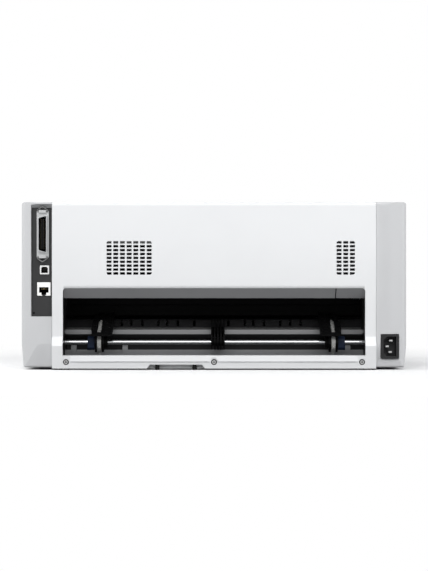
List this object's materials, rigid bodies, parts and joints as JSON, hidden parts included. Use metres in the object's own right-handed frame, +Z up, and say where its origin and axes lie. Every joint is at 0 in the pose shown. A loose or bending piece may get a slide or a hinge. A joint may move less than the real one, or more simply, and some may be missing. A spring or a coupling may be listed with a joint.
{
  "type": "dot matrix printer",
  "caption": "Desktop impact printer for continuous forms, open at the rear to its twin pin tractors, with ports in a side recess and a hinged top cover.",
  "frame": {"origin": "on the floor under the middle of the printer", "axes": "+X to the right seen from the front, +Y towards the rear with its paper opening, +Z up"},
  "size_m": [0.492, 0.3499, 0.215],
  "materials": {
    "white": "fine satin moulding",
    "cap": "fine satin moulding",
    "tray": "moulded",
    "black": "moulded black",
    "charcoal": "moulded dark grey",
    "rubber": "matt",
    "steel": "plain sheet",
    "bright": "ground shaft",
    "plate": "dark painted sheet",
    "connector": "plated shell",
    "pins": "plated",
    "liner": "moulded mid grey",
    "belt": "white belt",
    "gear": "natural moulded",
    "brass": "machined",
    "navy": "moulded navy",
    "smoke": "smoked clear",
    "keys": "moulded grey"
  },
  "bodies": {
    "printer": {"base_tray": "tray", "rear_cover": "white", "rear_screws": "steel", "port_side_cap": "cap", "power_side_cap": "cap", "top_deck": "white", "front_case": "white", "feet_and_posts": "rubber", "interface_plate": "plate", "parallel_shell": "connector", "port_insulators": "black", "usb_shell": "connector", "network_jack": "connector", "power_inlet": "charcoal", "inlet_pins": "pins", "side_frame_ports": "steel", "side_frame_power": "steel", "hood_liner": "liner", "upper_chute": "black", "paper_guide": "black", "round_shaft": "bright", "feed_motor": "charcoal", "carriage_rails": "steel", "carriage_belt": "rubber", "control_panel": "charcoal"},
    "platen": {"platen_sleeve": "rubber", "platen_core": "steel", "platen_gear": "gear"},
    "idler": {"idler_gear": "gear"},
    "drive_shaft": {"square_shaft": "steel", "shaft_gear": "gear"},
    "pinion": {"motor_pinion": "brass"},
    "support": {"centre_support": "black"},
    "carriage": {"carriage": "black", "print_head": "charcoal"},
    "cartridge": {"ribbon_cartridge": "black"},
    "drive_pulley": {"drive_pulley": "brass"},
    "idle_pulley": {"idle_pulley": "brass"},
    "cover": {"top_cover": "white", "cover_window": "smoke"},
    "sheet_guide": {"sheet_guide": "cap"},
    "edge_guide_a": {"edge_guide_a": "keys"},
    "edge_guide_b": {"edge_guide_b": "keys"},
    "upper_latch": {"parallel_latch_upper": "pins"},
    "lower_latch": {"parallel_latch_lower": "pins"},
    "power_switch": {"power_switch": "black"},
    "tractor_a": {"tractor_frame_a": "black", "tractor_belt_a": "belt"},
    "sprocket_a": {"tractor_sprocket_a": "gear"},
    "lid_a": {"tractor_lid_a": "black"},
    "lever_a": {"tractor_lever_a": "navy"},
    "tractor_b": {"tractor_frame_b": "black", "tractor_belt_b": "belt"},
    "sprocket_b": {"tractor_sprocket_b": "gear"},
    "lid_b": {"tractor_lid_b": "black"},
    "lever_b": {"tractor_lever_b": "navy"},
    "key_1": {"key_1": "keys"},
    "key_2": {"key_2": "keys"},
    "key_3": {"key_3": "keys"},
    "key_4": {"key_4": "keys"}
  },
  "joints": [
    {"name": "platen_turn", "type": "hinge", "parent": "printer", "child": "platen", "pos_m": [0, 0.012, 0.081], "axis": [1, 0, 0], "continuous": true},
    {"name": "idler_turn", "type": "hinge", "parent": "printer", "child": "idler", "pos_m": [-0.2, 0.05934, 0.07305], "axis": [1, 0, 0], "continuous": true},
    {"name": "drive_shaft_turn", "type": "hinge", "parent": "printer", "child": "drive_shaft", "pos_m": [0, 0.09579, 0.04666], "axis": [1, 0, 0], "continuous": true},
    {"name": "pinion_turn", "type": "hinge", "parent": "printer", "child": "pinion", "pos_m": [-0.2, 0.07795, 0.10502], "axis": [1, 0, 0], "continuous": true},
    {"name": "tractor_a_slide", "type": "slide", "parent": "printer", "child": "tractor_a", "axis": [1, 0, 0], "range_m": [-0.08, 0.01]},
    {"name": "sprocket_a_turn", "type": "hinge", "parent": "tractor_a", "child": "sprocket_a", "pos_m": [0.1482, 0.09579, 0.04666], "axis": [1, 0, 0], "continuous": true},
    {"name": "lid_a_hinge", "type": "hinge", "parent": "tractor_a", "child": "lid_a", "pos_m": [0.1572, 0.11452, 0.05498], "axis": [0, 0.9336, -0.3584], "range_deg": [0, 80]},
    {"name": "lever_a_turn", "type": "hinge", "parent": "tractor_a", "child": "lever_a", "pos_m": [0.1582, 0.128, 0.0343], "axis": [1, 0, 0], "range_deg": [0, 50]},
    {"name": "tractor_b_slide", "type": "slide", "parent": "printer", "child": "tractor_b", "axis": [1, 0, 0], "range_m": [-0.01, 0.08]},
    {"name": "sprocket_b_turn", "type": "hinge", "parent": "tractor_b", "child": "sprocket_b", "pos_m": [-0.1541, 0.09579, 0.04666], "axis": [1, 0, 0], "continuous": true},
    {"name": "lid_b_hinge", "type": "hinge", "parent": "tractor_b", "child": "lid_b", "pos_m": [-0.1631, 0.11452, 0.05498], "axis": [0, -0.9336, 0.3584], "range_deg": [0, 80]},
    {"name": "lever_b_turn", "type": "hinge", "parent": "tractor_b", "child": "lever_b", "pos_m": [-0.1641, 0.128, 0.0343], "axis": [1, 0, 0], "range_deg": [0, 50]},
    {"name": "support_slide", "type": "slide", "parent": "printer", "child": "support", "axis": [1, 0, 0], "range_m": [-0.04, 0.04]},
    {"name": "carriage_slide", "type": "slide", "parent": "printer", "child": "carriage", "axis": [1, 0, 0], "range_m": [-0.13, 0.13]},
    {"name": "cartridge_lift", "type": "slide", "parent": "carriage", "child": "cartridge", "axis": [0, 0, 1], "range_m": [0, 0.02]},
    {"name": "drive_pulley_turn", "type": "hinge", "parent": "printer", "child": "drive_pulley", "pos_m": [0.172, -0.085, 0.05], "axis": [0, 0, 1], "continuous": true},
    {"name": "idle_pulley_turn", "type": "hinge", "parent": "printer", "child": "idle_pulley", "pos_m": [-0.172, -0.085, 0.05], "axis": [0, 0, 1], "continuous": true},
    {"name": "cover_hinge", "type": "hinge", "parent": "printer", "child": "cover", "pos_m": [0, 0.0275, 0.2105], "axis": [-1, 0, 0], "range_deg": [0, 70]},
    {"name": "sheet_guide_hinge", "type": "hinge", "parent": "printer", "child": "sheet_guide", "pos_m": [0, 0.048, 0.212], "axis": [1, 0, 0], "range_deg": [0, 60]},
    {"name": "edge_guide_a_slide", "type": "slide", "parent": "sheet_guide", "child": "edge_guide_a", "axis": [1, 0, 0], "range_m": [-0.06, 0.02]},
    {"name": "edge_guide_b_slide", "type": "slide", "parent": "sheet_guide", "child": "edge_guide_b", "axis": [1, 0, 0], "range_m": [-0.02, 0.06]},
    {"name": "upper_latch_turn", "type": "hinge", "parent": "printer", "child": "upper_latch", "pos_m": [0.219, 0.1613, 0.2021], "axis": [-1, 0, 0], "range_deg": [0, 60]},
    {"name": "lower_latch_turn", "type": "hinge", "parent": "printer", "child": "lower_latch", "pos_m": [0.219, 0.1613, 0.1442], "axis": [1, 0, 0], "range_deg": [0, 60]},
    {"name": "key_1_press", "type": "slide", "parent": "printer", "child": "key_1", "axis": [0, 0.6435, -0.7655], "range_m": [0, 0.0008], "stiffness_N_per_m": 200, "springref_m": -0.0008},
    {"name": "key_2_press", "type": "slide", "parent": "printer", "child": "key_2", "axis": [0, 0.6435, -0.7655], "range_m": [0, 0.0008], "stiffness_N_per_m": 200, "springref_m": -0.0008},
    {"name": "key_3_press", "type": "slide", "parent": "printer", "child": "key_3", "axis": [0, 0.6435, -0.7655], "range_m": [0, 0.0008], "stiffness_N_per_m": 200, "springref_m": -0.0008},
    {"name": "key_4_press", "type": "slide", "parent": "printer", "child": "key_4", "axis": [0, 0.6435, -0.7655], "range_m": [0, 0.0008], "stiffness_N_per_m": 200, "springref_m": -0.0008},
    {"name": "power_switch_rock", "type": "hinge", "parent": "printer", "child": "power_switch", "pos_m": [-0.15, -0.168, 0.052], "axis": [-1, 0, 0], "range_deg": [0, 10]}
  ],
  "couplings": [
    {"joint": "idler_turn", "follows": "platen_turn", "ratio": -0.6},
    {"joint": "drive_shaft_turn", "follows": "platen_turn", "ratio": 1.2},
    {"joint": "pinion_turn", "follows": "platen_turn", "ratio": 2.5714},
    {"joint": "sprocket_a_turn", "follows": "platen_turn", "ratio": 1.2},
    {"joint": "sprocket_b_turn", "follows": "platen_turn", "ratio": 1.2},
    {"joint": "drive_pulley_turn", "follows": "carriage_slide", "rad_per_m": -111.11},
    {"joint": "idle_pulley_turn", "follows": "carriage_slide", "rad_per_m": -111.11}
  ]
}
